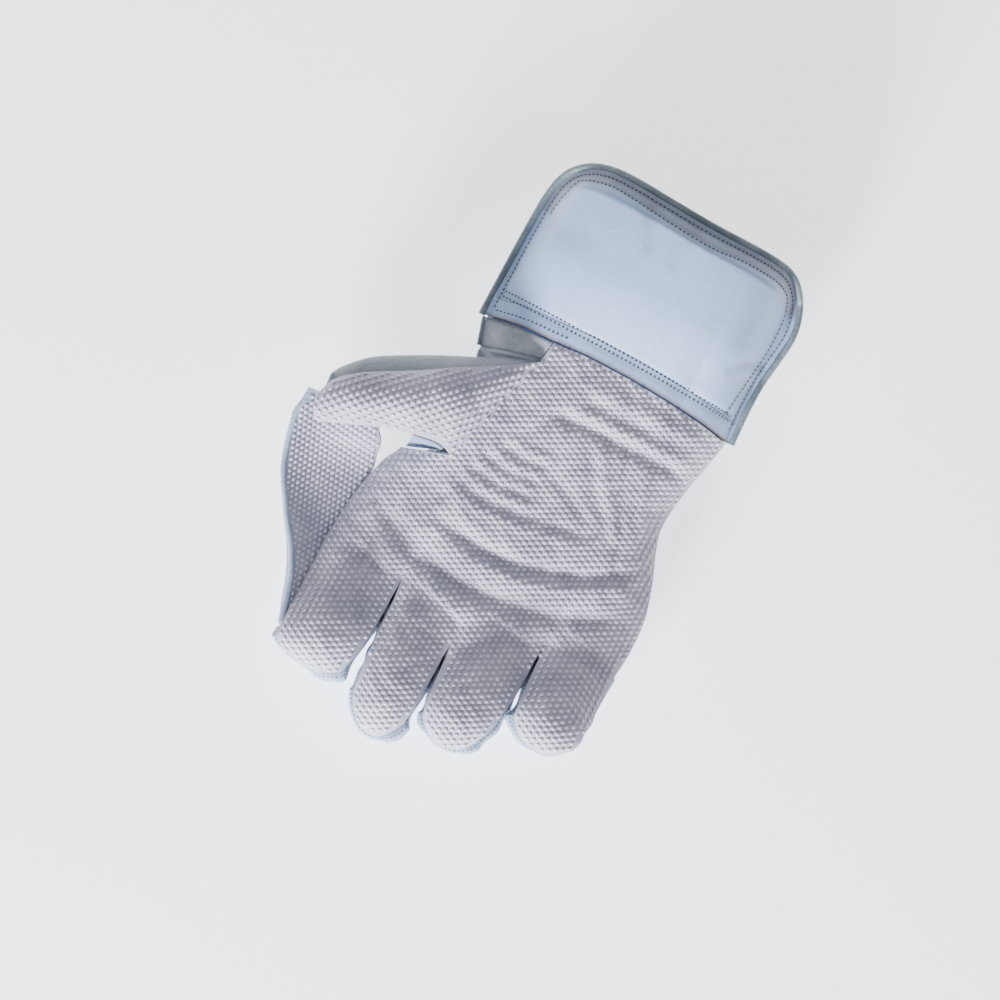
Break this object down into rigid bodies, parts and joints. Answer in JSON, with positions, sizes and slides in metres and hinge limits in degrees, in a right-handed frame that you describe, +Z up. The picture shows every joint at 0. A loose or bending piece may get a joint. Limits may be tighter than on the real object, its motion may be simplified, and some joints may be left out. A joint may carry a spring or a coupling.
{
  "type": "wicketkeeping glove",
  "caption": "Right-hand wicketkeeping glove with a pimpled rubber palm, a catching web and a padded leather gauntlet cuff, lying palm up.",
  "frame": {"origin": "middle of the glove's footprint, on the surface that its back rests on", "axes": "+Z up out of the palm, +Y to the cuff mouth, -Y to the fingertips, +X to the little finger"},
  "size_m": [0.223, 0.3266, 0.0739],
  "materials": {
    "pimpled_rubber": "matt, moulded pimples",
    "pale_leather": "smooth, soft sheen",
    "grey_leather": "soft, suede-like",
    "piping": "smooth"
  },
  "bodies": {
    "root": {"palm_rubber": "pimpled_rubber", "web_rubber": "pimpled_rubber", "back_leather": "pale_leather", "index_gusset": "pale_leather", "middle_gusset": "pale_leather", "ring_gusset": "pale_leather", "little_gusset": "pale_leather", "thumb_back": "pale_leather", "thumb_crotch": "grey_leather", "wrist_gusset": "grey_leather", "web_backing": "grey_leather", "web_binding": "piping", "cuff_band": "pale_leather", "cuff_front_pad": "pale_leather", "cuff_back": "pale_leather", "cuff_front_piping": "piping", "cuff_back_piping": "piping"}
  },
  "joints": []
}
